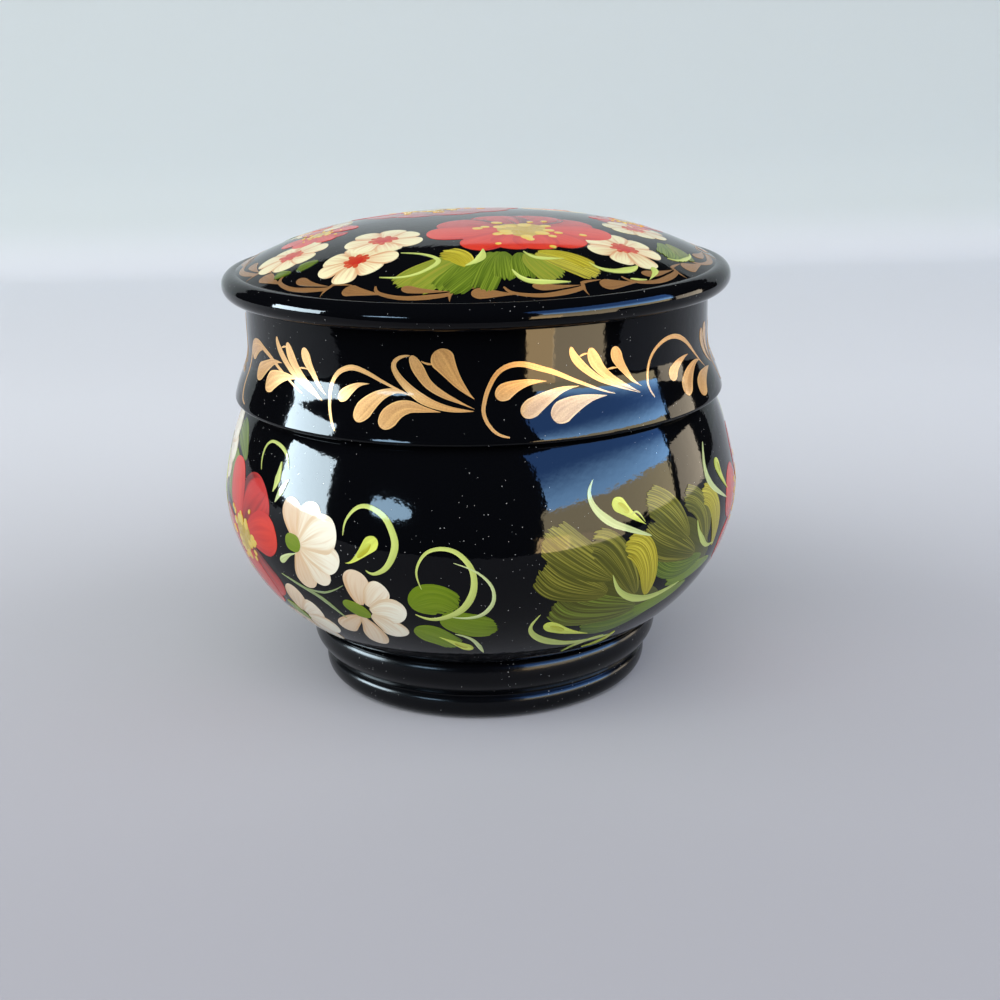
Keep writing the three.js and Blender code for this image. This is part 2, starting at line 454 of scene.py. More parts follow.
def makeInside(name, wearRange, look):
    material, tree, shader = newMaterial(name)
    place = objectPlace(tree)
    fine = addMarks(tree, place, *look["fineMarks"])
    wear = addRange(tree, addMarks(tree, place, *look["broadMarks"]), *wearRange)
    worn = addMath(tree, "MULTIPLY", addAttribute(tree, "rubbed")["Fac"], wear)
    wood = addMix(tree, fine, look["darkWood"], look["wood"])
    plug(tree, shader, {
        "Base Color": addMix(tree, worn, look["thinBlack"], wood),
        "Roughness": addRange(tree, worn, 0, 1, *look["roughness"]),
        "Normal": addBump(tree, fine, look["unevenness"], look["relief"]),
        "IOR": lacquerLook["index"],
    })
    return material


paintLook = {
    "edgeRange": (0.28, 0.5), "toneSpan": 0.6, "dryLength": 0.35, "dryLeft": 0.2, "thinRange": (0.55, 0.1),
    "grainShare": 0.3, "relief": 0.00004, "roughness": 0.45, "specular": 0.05,
    "varnish": 1.0, "varnishRoughness": 0.06,
}
# Bristles, share of streaks, end of the body's tone, edge shade, dryness and unevenness
paintKinds = {
    "petalPaint": (12.0, 0.42, 0.08, 0.8, 0.0, 0.14),
    "poppyPaint": (12.0, 0.35, 0.15, 0.9, 0.0, 0.14),
    "leafPaint": (32.0, 0.85, 0.34, 0.0, 0.85, 0.14),
    "tendrilPaint": (4.0, 0.5, 0.2, 0.0, 0.0, 0.12),
    "dotPaint": (2.0, 0.3, 0.2, 0.0, 0.0, 0.1),
}


# Brushed paint: two tones mixed by the stroke's length or width and by its streaks, dry where it starts
def makePaint(name, look, bristles, streakShare, bodyEnd, edgeShade, dryness, unevenness):
    material, tree, shader = newMaterial(name)
    stroke = strokePlace(tree)
    parts = addParts(tree, stroke)
    body, side = addAttribute(tree, "brushBody"), addAttribute(tree, "brushSide")
    drawn = useGroup(tree, bristleStreaks, Stroke=stroke, Number=body["Alpha"], Bristles=bristles)
    across = addMath(tree, "MULTIPLY", parts["Y"], addMath(tree, "SUBTRACT", 1.0, side["Alpha"]))
    along = addMath(tree, "MULTIPLY", parts["X"], side["Alpha"])
    place = addMath(tree, "MULTIPLY", addMath(tree, "ADD", across, along), 1.0 - streakShare)
    loaded = addMath(tree, "ADD", place, addMath(tree, "MULTIPLY", drawn["Streaks"], streakShare))
    edge = addRange(tree, fromMiddle(tree, parts["Y"]), *look["edgeRange"], 0, edgeShade, smooth=True)
    shaded = addMath(tree, "MULTIPLY", edge, addMath(tree, "SUBTRACT", 1.0, parts["X"]))
    loaded = addMath(tree, "SUBTRACT", loaded, shaded)
    share = addRange(tree, loaded, bodyEnd, bodyEnd + look["toneSpan"], smooth=True)
    colour = addMix(tree, share, body["Color"], side["Color"])
    start = addRange(tree, parts["X"], 0.0, look["dryLength"], dryness, look["dryLeft"] * dryness)
    thin = addMath(tree, "MULTIPLY", addRange(tree, drawn["Streaks"], *look["thinRange"]), start)
    grain = addMath(tree, "MULTIPLY", drawn["Grain"], look["grainShare"])
    height = addMath(tree, "ADD", drawn["Streaks"], grain)
    plug(tree, shader, {
        "Base Color": addMix(tree, thin, colour, lacquerLook["black"]),
        "Normal": addBump(tree, height, unevenness, look["relief"]),
        "Roughness": look["roughness"], "Specular IOR Level": look["specular"],
        "Coat Weight": look["varnish"], "Coat Roughness": look["varnishRoughness"],
        "Coat IOR": lacquerLook["index"],
    })
    return material


goldLook = {
    "pale": screenColour(222, 172, 100), "deep": screenColour(168, 114, 56),
    "bronze": screenColour(174, 126, 72), "bronzeShade": 0.35,
    "flakes": 5200.0, "flakeDetail": 1.0, "flakeShare": 0.35, "bristles": 6.0, "streakShare": 0.65,
    # The first range on the next line is where a painted highlight lightens the gold near each stroke's
    # edge
    "rimRange": (0.36, 0.48), "roughness": (0.5, 0.34), "unevenness": 0.25, "relief": 0.00002,
    "metal": 0.3, "varnish": 0.8, "varnishRoughness": 0.07,
}


def makeGold(name, look, pale, deep):
    material, tree, shader = newMaterial(name)
    stroke = strokePlace(tree)
    number = addAttribute(tree, "brushBody")["Alpha"]
    drawn = useGroup(tree, bristleStreaks, Stroke=stroke, Number=number, Bristles=look["bristles"])
    flecks = addNoise(tree, objectPlace(tree), look["flakes"], look["flakeDetail"])
    grain = addRange(tree, flecks, *noiseRange)
    across = fromMiddle(tree, addParts(tree, stroke)["Y"])
    rim = addRange(tree, across, *look["rimRange"], smooth=True)        # painted highlight along the edge, where the paint also stands thicker
    flakes = addMath(tree, "MULTIPLY", grain, look["flakeShare"])
    tone = addMath(tree, "ADD", flakes, addMath(tree, "MULTIPLY", drawn["Streaks"], look["streakShare"]))
    plug(tree, shader, {
        # The base colour goes pale near the stroke's edges: a painted highlight
        "Base Color": addMix(tree, addMath(tree, "MAXIMUM", tone, rim), deep, pale),
        "Roughness": addRange(tree, grain, 0, 1, *look["roughness"]),
        "Normal": addBump(tree, grain, look["unevenness"], look["relief"]),
        "Metallic": look["metal"], "Coat Weight": look["varnish"],
        "Coat Roughness": look["varnishRoughness"], "Coat IOR": lacquerLook["index"],
    })
    return material


glossLacquer = makeLacquer("glossLacquer", lacquerLook)
insideLacquer = makeInside("insideLacquer", insideLook["insideWear"], insideLook)
undersideLacquer = makeInside("undersideLacquer", insideLook["undersideWear"], insideLook)
paints = {name: makePaint(name, paintLook, *kind) for name, kind in paintKinds.items()}
paints["goldPaint"] = makeGold("goldPaint", goldLook, goldLook["pale"], goldLook["deep"])
darkBronze = mixColour(goldLook["bronze"], lacquerLook["black"], goldLook["bronzeShade"])
paints["bronzePaint"] = makeGold("bronzePaint", goldLook, goldLook["bronze"], darkBronze)
print("materials made:", len(bpy.data.materials))


# The two turned pieces

def markRubbed(piece, lines):
    rubbed = piece.data.attributes.new("rubbed", "FLOAT", "POINT")
    for vertex, value in zip(piece.data.vertices, rubbed.data):
        radius, height = Vector(vertex.co.xy).length / mm, vertex.co.z / mm
        nearest = min(math.hypot(radius - r, height - z) for r, z in lines)
        value.value = max(0.0, 1.0 - nearest / turning["rubbedReach"])


def finishTurned(piece, isInside, isUnder, node):
    for material in (glossLacquer, insideLacquer, undersideLacquer):
        piece.data.materials.append(material)
    for polygon in piece.data.polygons:
        radius, height = Vector(polygon.center.xy).length / mm, polygon.center.z / mm
        outward = polygon.normal.x * polygon.center.x + polygon.normal.y * polygon.center.y
        if isUnder and isUnder(height, polygon.normal.z):
            polygon.material_index = 2
        elif isInside(radius, height, outward):
            polygon.material_index = 1
    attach(piece, node)
    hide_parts(node)


def insideBowl(radius, height, outward):
    onTenon = (radius < bowlSizes["tenonRadius"] + turning["slack"]
               and height > bowlSizes["seatHeight"] - turning["seatSlack"])
    onFloor = radius < bowlSizes["floorFlatRadius"] + turning["floorSlack"]
    aboveFloor = height > bowlSizes["floorThickness"] - turning["slack"]
    return aboveFloor and (onTenon or onFloor or outward < turning["facingIn"])


def underBowl(height, up):
    return up < turning["facingDown"] and height < bowlSizes["recessDepth"] + turning["slack"]


def insideLid(radius, height, outward):
    ceiling = lidSizes["domeTop"] - lidSizes["domeWall"]
    return radius < lidSizes["rebateRadius"] + turning["slack"] and height < ceiling + turning["seatSlack"]


tenonInset = turning["tenonInset"]
tenonEdge = (bowlSizes["tenonRadius"] - tenonInset, bowlSizes["tenonTop"] - tenonInset)
ringEdge = (bowlSizes["footRingRadius"] - turning["ringInset"], 0)
rebateEdge = (lidSizes["rebateRadius"], lidSizes["seatHeight"])

bowlBody = turnedMesh("bowlTurning", bowlProfile(bowlSizes))
markRubbed(bowlBody, [tenonEdge, ringEdge])
finishTurned(bowlBody, insideBowl, underBowl, "bowl")
lidBody = turnedMesh("lidTurning", lidProfile(lidSizes))
markRubbed(lidBody, [rebateEdge])
finishTurned(lidBody, insideLid, None, "lid")
print("turned pieces:", len(bowlBody.data.polygons), len(lidBody.data.polygons), "faces")


# Canvases: a motif's own millimetres, x to the right and y up, laid on the turned surface

def runningLengths(points):
    lengths = [0.0]
    for before, point in zip(points, points[1:]):
        lengths.append(lengths[-1] + (point - before).length)
    return lengths


def stretchAt(values, wanted):
    i = min(max(bisect.bisect_right(values, wanted) - 1, 0), len(values) - 2)
    return i, (wanted - values[i]) / (values[i + 1] - values[i])


def chartOf(profile):
    return {
        "points": profile, "lengths": runningLengths(profile),
        "radii": [point.x for point in profile], "heights": [point.z for point in profile],
    }


def readChart(chart, along):
    i, share = stretchAt(chart["lengths"], along)
    points = chart["points"]
    run = (points[i + 1] - points[i]).normalized()
    return points[i].lerp(points[i + 1], share), Vector((run.z, 0, -run.x))


def alongAt(chart, measure, wanted):
    i, share = stretchAt(chart[measure], wanted)
    lengths = chart["lengths"]
    return lengths[i] + share * (lengths[i + 1] - lengths[i])


bowlChart = chartOf(bowlOutside(bowlSizes))
collarChart = chartOf(collarOutside(lidSizes))
domeChart = chartOf(domeOutside(lidSizes)[1][::-1])


def turnedPoint(place, normal, angle, lift):
    lifted = place + normal * lift
    return Vector((math.sin(angle) * lifted.x, -math.cos(angle) * lifted.x, lifted.z)) * mm


def bowlCanvas(angle, height, turn=0.0):
    start = alongAt(bowlChart, "heights", height)
    cosine, sine = math.cos(math.radians(turn)), math.sin(math.radians(turn))

    def canvas(x, y, lift):
        place, normal = readChart(bowlChart, start + sine * x + cosine * y)
        return turnedPoint(place, normal, math.radians(angle) + (cosine * x - sine * y) / place.x, lift)
    return canvas


def collarCanvas(angle, stretch, radius):
    def canvas(x, y, lift):
        along = alongAt(collarChart, "heights", lidSizes["seatHeight"] + y)
        place, normal = readChart(collarChart, along)
        return turnedPoint(place, normal, math.radians(angle) + x * stretch / radius, lift)
    return canvas


def domeCanvas(centreX, centreY, turn=0.0):
    cosine, sine = math.cos(math.radians(turn)), math.sin(math.radians(turn))

    def canvas(x, y, lift):
        planX, planY = centreX + cosine * x - sine * y, centreY + sine * x + cosine * y
        along = alongAt(domeChart, "radii", math.hypot(planX, planY))
        place, normal = readChart(domeChart, along)
        return turnedPoint(place, -normal, math.atan2(planX, -planY), lift)
    return canvas


# Brush strokes: a grid bent along a line, as wide as the pressed brush

# Where it is widest, then for tail and head: two powers for how round it closes, and the width left there
brushShapes = {
    "comma": (0.80, (1.0, 1.15, 0.02), (2.0, 0.50, 0.04)),
    "hook": (0.45, (1.0, 0.80, 0.02), (1.0, 0.70, 0.08)),
    "tendril": (0.66, (1.0, 0.75, 0.05), (1.6, 0.80, 0.04)),
    "scroll": (0.55, (1.0, 0.45, 0.16), (1.0, 0.70, 0.08)),
    "dab": (0.50, (2.0, 0.50, 0.05), (2.0, 0.50, 0.05)),
    "sweep": (0.30, (2.0, 0.50, 0.74), (1.7, 0.66, 0.10)),
    "pad": (0.58, (2.0, 0.50, 0.42), (2.0, 0.50, 0.04)),
    "petal": (0.66, (1.5, 0.90, 0.20), (2.3, 0.50, 0.03)),
    "line": (0.40, (1.0, 0.40, 0.10), (1.0, 0.60, 0.10)),
}
brushing = {
    "firstLift": 0.022, "liftStep": 0.007, "strokeStep": 0.0004, "strokeCycle": 6, "slab": 0.16,
    "linePoints": 12, "wobble": 0.04, "wobbleTurns": 9, "bow": 0.2, "lightHand": 0.88,
    "bristlesPerMillimetre": 4, "fewestBristles": 10, "leafRows": 22, "sprigRows": 14, "rowsPerPoint": 5,
}
strokeGrids = {                     # faces along and across the stroke
    "scrollTendril": (72, 4), "scrollHook": (48, 4), "scrollLeaf": (24, 6), "scrollComma": (30, 6),
    "thread": (10, 2), "blossomPetal": (22, 10), "calyx": (14, 6), "poppyPetal": (24, 12), "spot": (8, 4),
    "budMiddle": (12, 4), "daisyPetal": (18, 10), "daisyMiddle": (12, 6),
    "borderTendril": (44, 4), "borderTail": (12, 4), "borderLeaf": (20, 6),
}


def newPaint(name, coat):
    mesh = bmesh.new()
    mesh.loops.layers.uv.new("stroke")          # each stroke's grid fills it, along and across
    return {
        "name": name, "coat": coat, "mesh": mesh, "strokes": 0,
        "body": mesh.loops.layers.float_color.new("brushBody"),
        "side": mesh.loops.layers.float_color.new("brushSide"),
    }


def strokeLine(points):
    places = [Vector((x, y, 0)) for x, y in points]
    inner = [(after - before) / 2 for before, after in zip(places, places[2:])]
    first, last = places[1] - places[0], places[-1] - places[-2]
    slopes = [first, *inner, last]
    if inner:                       # the ends carry on the bend of their neighbours
        slopes[0], slopes[-1] = 1.5 * first - inner[0] / 2, 1.5 * last - inner[-1] / 2
    line = [places[0]]
    for i in range(len(places) - 1):
        line += interpolate_bezier(
            places[i], places[i] + slopes[i] / 3, places[i + 1] - slopes[i + 1] / 3, places[i + 1],
            brushing["linePoints"])[1:]
    return line, runningLengths(line)


def pointOn(line, lengths, share):
    i, step = stretchAt(lengths, share * lengths[-1])
    runs = [(line[min(j + 1, len(line) - 1)] - line[max(j - 1, 0)]).normalized() for j in (i, i + 1)]
    return line[i].lerp(line[i + 1], step), runs[0].lerp(runs[1], step).normalized()


def pressedWidth(shape, share):
    widest, tail, head = brushShapes[shape]
    away = (widest - share) / widest if share < widest else (share - widest) / (1 - widest)
    power, close, least = tail if share < widest else head
    return least + (1 - least) * max(0.0, 1 - away ** power) ** close


def brush(paint, canvas, points, width, body, side=None, shape="comma", layer=0, grid=(20, 6),
          shadeAlong=False, rag=0.0):
    line, lengths = strokeLine(points)
    turnInCycle = paint["strokes"] % brushing["strokeCycle"]
    lift = brushing["firstLift"] + brushing["liftStep"] * layer + brushing["strokeStep"] * turnInCycle
    phase, number = random.uniform(0, math.tau), random.random()
    along, across = grid
    starts = [random.uniform(0, rag) / lengths[-1] for row in range(across + 1)]
    if rag:                         # the outer bristles of a spread brush touch down later
        bow = brushing["bow"] * width / lengths[-1]
        starts = [start + bow * (2 * row / across - 1) ** 2 for row, start in enumerate(starts)]
    made = bmesh.ops.create_grid(
        paint["mesh"], x_segments=along, y_segments=across, size=0.5, calc_uvs=True)
    for vertex in made["verts"]:
        even, out = vertex.co.x + 0.5, vertex.co.y
        start = starts[round((out + 0.5) * across)]
        eased = 0.5 - 0.5 * math.cos(math.pi * even)        # closer rows at the two ends
        share = start + (1 - start) * eased
        sway = 1 + brushing["wobble"] * math.sin(phase + brushing["wobbleTurns"] * share)
        centre, run = pointOn(line, lengths, share)
        place = centre + Vector((-run.y, run.x, 0)) * (out * width * (pressedWidth(shape, share) * sway))
        vertex.co = canvas(place.x, place.y, lift)
    bodyColour = (*body[:3], number)
    sideColour = (*(side or body)[:3], 1.0 if shadeAlong else 0.0)
    for face in {face for vertex in made["verts"] for face in vertex.link_faces}:
        face.smooth = True
        for loop in face.loops:
            loop[paint["body"]] = bodyColour
            loop[paint["side"]] = sideColour
            loop.edge.smooth = not loop.edge.is_boundary
    paint["strokes"] += 1


def finishPaint(paint, node):
    piece = meshPiece(paint["name"], paint["mesh"])
    piece.data.materials.append(paints[paint["coat"]])
    slab = piece.modifiers.new("paintBody", "SOLIDIFY")       # the coat reaches a little into the lacquer
    slab.thickness = brushing["slab"] * mm
    slab.offset = -1
    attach(piece, node)
    print(paint["name"], "strokes:", paint["strokes"], "faces:", len(piece.data.polygons))


# Gold scroll round the collar: a slender unit and a full one in turn, and a wide one at the front's right

# In a unit, x is to the right from its left edge and y up from the seat; strokes end at their fat heads
scrollUnits = {
    "slender": {
        "tendril": ([(3.6, 1.3), (1.9, 1.9), (0.6, 3.3), (0, 4.9), (0.2, 6.4), (0.8, 8.2), (2.1, 10.4),
            (3.8, 11.5), (6, 11.7), (8.4, 11), (11, 10.1), (14, 8.7), (17, 7.4), (19.4, 6.4),
            (21, 5.9)], 0.85),
        "leaves": [
            ([(9.7, 8.9), (6.8, 8.9), (4, 8.1), (2.0, 6.8)], 2.5),
            ([(14.9, 7.7), (12, 7.4), (8.8, 6.1), (5.6, 4.3)], 2.8),
            ([(19.5, 5.8), (16.1, 5.7), (12.7, 4.8), (10.2, 3.3)], 3.3),
        ],
        "commas": [
            ([(25.8, 5.3), (23.6, 6.1), (21.2, 7.1), (18.3, 8.5), (15.8, 10.4), (14.2, 12.2),
                (13.7, 13.7)], 1.35),
            ([(25.8, 5.4), (23.4, 6.7), (20.9, 8.1), (19, 9.6), (17.7, 11.3), (16.9, 13.2)], 1.95),
            ([(26.4, 6.2), (24.8, 7.3), (23.5, 8.8), (22.1, 10.7), (21.2, 12.9)], 2.0),
        ],
        "threads": [[(15.1, 12.1), (15.9, 12.4), (16.7, 12.4)], [(19.9, 9.6), (21, 9.7), (22.1, 9.6)]],
    },
    "full": {
        "tendril": ([(2.1, 1.4), (1.1, 3.1), (0.2, 5.5), (0.2, 7.8), (1.4, 9.7), (3.3, 10.7),
            (4.9, 10.8), (6.9, 10.2), (9.1, 9.2), (11.4, 8.2), (13.7, 7.3)], 0.8),
        "leaves": [
            ([(7.1, 8.6), (5.2, 8.3), (3.5, 7.3), (1.9, 5.8)], 1.9),
            ([(13.8, 7.2), (11.6, 7.8), (9.2, 7.1), (7.1, 5.5), (5.4, 3.2)], 2.9),
            ([(18.5, 5), (16.1, 5.3), (13.5, 5.6), (11.4, 4.7), (9.7, 2.5)], 3.1),
        ],
        "commas": [
            ([(23.5, 5.4), (21.2, 6.4), (18.6, 7.6), (16.6, 9), (15.3, 10.9), (14.1, 13.2)], 1.9),
            ([(23.5, 6.8), (22.3, 7.9), (20.9, 9.5), (19.4, 11.8), (18.1, 14.1)], 3.6),
        ],
        "threads": [[(15.6, 12.4), (16.8, 12), (18.4, 12.2)]],
        "hook": ([(23.4, 5.1), (20, 5.4), (17, 6.2), (14.7, 7.4), (12.6, 9.2), (11.4, 10.9),
            (11.4, 12.1), (12.4, 12.9), (13.9, 13.2)], 1.45),
    },
    "wide": {
        "tendril": ([(0.6, 4.2), (0, 5.6), (0, 7), (0.8, 9.7), (2.3, 11.4), (4.8, 12.4), (7.6, 12.4),
            (10.8, 11.2), (14.5, 8.7), (18.6, 5.6)], 0.75),
        "leaves": [
            ([(12, 8.8), (10, 8.5), (7.6, 7.6), (5.6, 5.9)], 2.2),
            ([(16.8, 7), (14.2, 7), (11, 5.6), (8.3, 3.2)], 2.9),
            ([(20.8, 5.2), (18.4, 5), (15.6, 4.2), (13.2, 2.2)], 3.0),
        ],
        "commas": [
            ([(24, 5.2), (21.8, 6.6), (19.6, 9), (18.2, 11.8)], 1.9),
            ([(24.4, 5.6), (22.8, 7.6), (21.4, 10), (20.8, 12.4)], 2.2),
        ],
        "threads": [],
    },
}
# Angle, unit, how far it is stretched, and how much higher its leaves are
scrollLayout = {
    "front": [
        (-72.5, "slender", 0.95, 2.0), (-35.2, "full", 1.0, 0.0), (0.8, "slender", 1.0, 0.0),
        (41.3, "wide", 1.0, 0.0),
    ],
    "restStart": 78.3, "restUnits": 6, "restStretch": 0.885, "radius": 39.5, "threadWidth": 0.32,
}


def paintScroll(paint, angle, unit, stretch, leafLift):
    gold = goldLook["pale"]
    canvas = collarCanvas(angle, stretch, scrollLayout["radius"])
    points, width = unit["tendril"]
    brush(paint, canvas, points, width, gold, shape="scroll", grid=strokeGrids["scrollTendril"])
    if "hook" in unit:
        points, width = unit["hook"]
        brush(paint, canvas, points, width, gold, shape="hook", layer=1, grid=strokeGrids["scrollHook"])
    for points, width in unit["leaves"]:
        raised = [(x, y + leafLift) for x, y in points]
        brush(paint, canvas, raised, width, gold, layer=2, grid=strokeGrids["scrollLeaf"])
    for points, width in unit["commas"]:
        brush(paint, canvas, points, width, gold, layer=3, grid=strokeGrids["scrollComma"])
    for points in unit["threads"]:
        width = scrollLayout["threadWidth"]
        brush(paint, canvas, points, width, gold, shape="line", grid=strokeGrids["thread"])


collarGold = newPaint("collarScroll", "goldPaint")
restPitch = (360 + scrollLayout["front"][0][0] - scrollLayout["restStart"]) / scrollLayout["restUnits"]
for angle, kind, stretch, leafLift in scrollLayout["front"]:
    paintScroll(collarGold, angle, scrollUnits[kind], stretch, leafLift)
for i in range(scrollLayout["restUnits"]):
    unit = scrollUnits["full" if i % 2 else "slender"]
    angle = scrollLayout["restStart"] + restPitch * i
    paintScroll(collarGold, angle, unit, scrollLayout["restStretch"], 0.0)
finishPaint(collarGold, "lid")


# Flowers and leaves, each drawn about its own middle

tones = {name: screenColour(*shade) for name, shade in {
    "white": (250, 247, 226), "cream": (238, 226, 192), "tan": (216, 174, 128), "butter": (240, 234, 190),
    "rose": (226, 130, 92), "brightRed": (218, 58, 38), "red": (196, 36, 28), "darkRed": (104, 14, 10),
    "yellow": (226, 196, 66), "ochre": (192, 160, 28), "brick": (196, 66, 36),
    "olive": (82, 84, 18), "paleOlive": (152, 148, 54), "moss": (86, 110, 24), "paleMoss": (126, 146, 44),
    "gold": (164, 154, 32), "sun": (214, 202, 68), "flat": (112, 140, 16), "grass": (124, 146, 30),
    "sage": (150, 168, 124), "tendril": (206, 220, 124), "paleTendril": (212, 226, 164),
    "bud": (222, 234, 104), "core": (178, 178, 40),
}.items()}
paintLayers = {"calyx": 8, "sprig": 9, "daisyMiddle": 9, "daisyTouch": 10, "lidSprig": 12}

# Each petal from its base to its tip, its width, and how tan it is
blossomKinds = {
    "open": {
        "petals": [
            ([(0, 0), (-1.1, 3.4), (-1.4, 6.6)], 4.2, 0.85),
            ([(0.3, -1.4), (0.6, -5.2), (1.1, -8.3)], 4.4, 0.8),
            ([(0.5, 0.3), (2.5, 4), (2.6, 6.6)], 4.6, 0.35),
            ([(0.7, -1.4), (3.4, -4.2), (4.7, -7)], 4.2, 0.3),
            ([(0.7, -0.9), (5.2, -1.9), (8, -3.2)], 5.5, 0.05),
            ([(0.8, -0.5), (5.2, 1.8), (8, 2.7)], 6.4, 0),
        ],
        "calyx": ([(-2.6, -0.4), (-0.9, -0.6), (0.8, -0.9)], 3.1),
    },
    "turned": {
        "petals": [
            ([(0.7, 1.2), (0.7, 4.6), (1.5, 7.7)], 4.5, 0.7),
            ([(-0.3, -1.6), (-3.2, -4), (-5.2, -6.3)], 3.6, 0.8),
            ([(0.1, -1.6), (0.8, -5.2), (0.1, -9.2)], 4.2, 0.6),
            ([(1.9, 1.2), (3.9, 3.8), (5.7, 5.5)], 4.2, 0.25),
            ([(2, -0.8), (4.4, -3), (5.6, -5.6)], 4.8, 0.15),
            ([(2.2, 0), (5.3, 0.6), (7.9, -0.4)], 5.4, 0),
        ],
        "calyx": ([(-2.6, 1.2), (-0.4, 0.1), (1.8, -1.2)], 2.8),
    },
}
blossomTan = {"base": 0.45, "baseMore": 0.55, "edgeMore": 0.75}


def paintBlossom(paint, green, canvas, kind):
    for layer, (points, width, tan) in enumerate(blossomKinds[kind]["petals"]):
        base = mixColour(tones["cream"], tones["tan"], blossomTan["base"] + blossomTan["baseMore"] * tan)
        edge = mixColour(tones["white"], tones["tan"], blossomTan["edgeMore"] * tan)
        brush(paint, canvas, points, width, base, edge, "petal", layer, strokeGrids["blossomPetal"], True)
    points, width = blossomKinds[kind]["calyx"]
    brush(green, canvas, points, width, tones["flat"], tones["grass"], "dab", paintLayers["calyx"],
          strokeGrids["calyx"])


# Each petal's direction, share of the reach, width as a share of the reach, and if it is bright
poppyKinds = {
    "bowl": [
        (47, 0.97, 0.8, False), (305, 0.92, 0.64, False), (186, 0.95, 0.7, True),
        (107, 1.0, 0.56, True), (240, 1.0, 0.6, True), (10, 0.94, 0.57, True), (280, 1.02, 0.54, True),
    ],
    "lid": [
        (40, 0.95, 0.66, False), (75, 0.95, 0.66, False), (110, 0.95, 0.66, False),
        (150, 1.0, 0.7, False), (190, 1.07, 0.6, True), (2, 1.0, 0.6, True), (229, 0.95, 0.5, True),
        (318, 0.82, 0.5, True), (253, 0.76, 0.5, True), (284, 0.74, 0.52, True),
    ],
}
poppyShape = {                      # spots: how many, distance and size as shares of the reach, tone, layer
    "petalLine": [(0.08, 0), (0.55, 0.06), (1, 0)], "petalSway": 3, "cores": {"bowl": 1.0, "lid": 1.2},
    "spots": [(9, 0.12, 0.24, "ochre", 10), (9, 0.24, 0.13, "yellow", 11), (8, 0.36, 0.09, "yellow", 12),
              (6, 0.49, 0.07, "yellow", 12)],
    "spotSway": 0.3, "spotAway": (0.7, 1.2), "spotSpan": (0.8, 1.25), "spotWidth": 0.85, "spotPale": 0.15,
}


def paintPoppy(paint, dots, canvas, reach, kind):
    for layer, (direction, share, width, bright) in enumerate(poppyKinds[kind]):
        turn = math.radians(direction + random.uniform(-poppyShape["petalSway"], poppyShape["petalSway"]))
        tip = reach * share
        points = [(tip * away * math.cos(turn + lean), tip * away * math.sin(turn + lean))
                  for away, lean in poppyShape["petalLine"]]
        base, edge = (tones["red"], tones["brightRed"]) if bright else (tones["darkRed"], tones["red"])
        brush(paint, canvas, points, reach * width, base, edge, "petal", layer,
              strokeGrids["poppyPetal"], True)
    core = reach * poppyShape["cores"][kind]
    for spots, ring, size, tone, layer in poppyShape["spots"]:
        pale = mixColour(tones[tone], tones["butter"], poppyShape["spotPale"])
        for i in range(spots):
            sway = random.uniform(-poppyShape["spotSway"], poppyShape["spotSway"])
            turn = math.tau * (i + sway) / spots
            away = core * ring * random.uniform(*poppyShape["spotAway"])
            span = core * size * random.uniform(*poppyShape["spotSpan"])
            middle = Vector((away * math.cos(turn), away * math.sin(turn)))
            run = Vector((math.cos(turn), math.sin(turn))) * span / 2
            points = [tuple(middle - run), tuple(middle + run)]
            width = span * poppyShape["spotWidth"]
            brush(dots, canvas, points, width, tones[tone], pale, "dab", layer, strokeGrids["spot"])


# Points from the dry start of the brush to the stem, width, tones of body and streaks
leafFans = {
    "large": [
        ([(-7.4, 0.4), (0, -3.4), (10, -6.6)], 9.4, "olive", "olive"),
        ([(-4.6, -7.8), (1.6, -9.3), (10.4, -7.2)], 5.8, "moss", "grass"),
        ([(5, -8.4), (11, -7), (17, -5.2)], 3.2, "flat", "grass"),
        ([(-10, -1.2), (-5.4, -4.6), (4.8, -6.8)], 7.4, "olive", "paleMoss"),
        ([(-13.4, 5), (-9.4, 1.4), (-2, -1.8)], 6.8, "olive", "paleOlive"),
        ([(-12.8, 10.2), (-8.8, 6.4), (-1.4, 0.8)], 6.6, "olive", "paleOlive"),
        ([(-5.9, 7.4), (-2, 5.4), (3.8, -3.4)], 5.4, "olive", "paleOlive"),
        ([(0.2, 6.2), (3.4, 5), (5.4, 1.2), (6.4, -4.4)], 4.6, "gold", "sun"),
    ],
    "small": [
        ([(-6.4, 2.6), (-0.6, -0.8), (6.4, -4.4)], 8.2, "olive", "olive"),
        ([(-5, -5.4), (-0.3, -6), (8.6, -5.8)], 3.6, "flat", "grass"),
        ([(-8.8, -0.6), (-3.2, -3.8), (4, -3.8)], 4.8, "moss", "paleMoss"),
        ([(-11.8, 5.4), (-8.3, 2.2), (1, -2.4)], 6.2, "olive", "paleOlive"),
        ([(-11.2, 9.4), (-7.6, 7.4), (-1.8, 1.2)], 5.6, "olive", "paleOlive"),
        ([(-2.8, 8), (0.7, 6.4), (3, 3.4), (4.2, -1.8)], 4.6, "olive", "paleOlive"),
        ([(2.4, 7.3), (5.4, 5.9), (7.2, 2.6), (7.9, -3.2)], 3.8, "gold", "sun"),
    ],
    "flat": [
        ([(1.2, -4.6), (-2.2, -2.8), (-6.2, -4.4)], 5.8, "flat", "grass"),
        ([(7.2, -8.8), (2.6, -8.2), (-1.6, -6.2)], 5.4, "flat", "grass"),
        ([(0.6, -14.4), (-2.6, -11.4), (-6.2, -9.6)], 4.6, "flat", "grass"),
    ],
    "edge": [
        ([(-6.8, 3.4), (-3, 2.2), (0.6, -1)], 4.2, "moss", "paleMoss"),
        ([(-7.4, -1.8), (-3.4, -3.4), (0.6, -6.8)], 4.6, "flat", "paleMoss"),
        ([(-8.6, -5.6), (-5, -7), (-1, -9.2)], 3.6, "moss", "paleMoss"),
    ],
}
raggedStarts = {"sweep": 0.9, "pad": 0.7}       # millimetres by which the bristles start apart


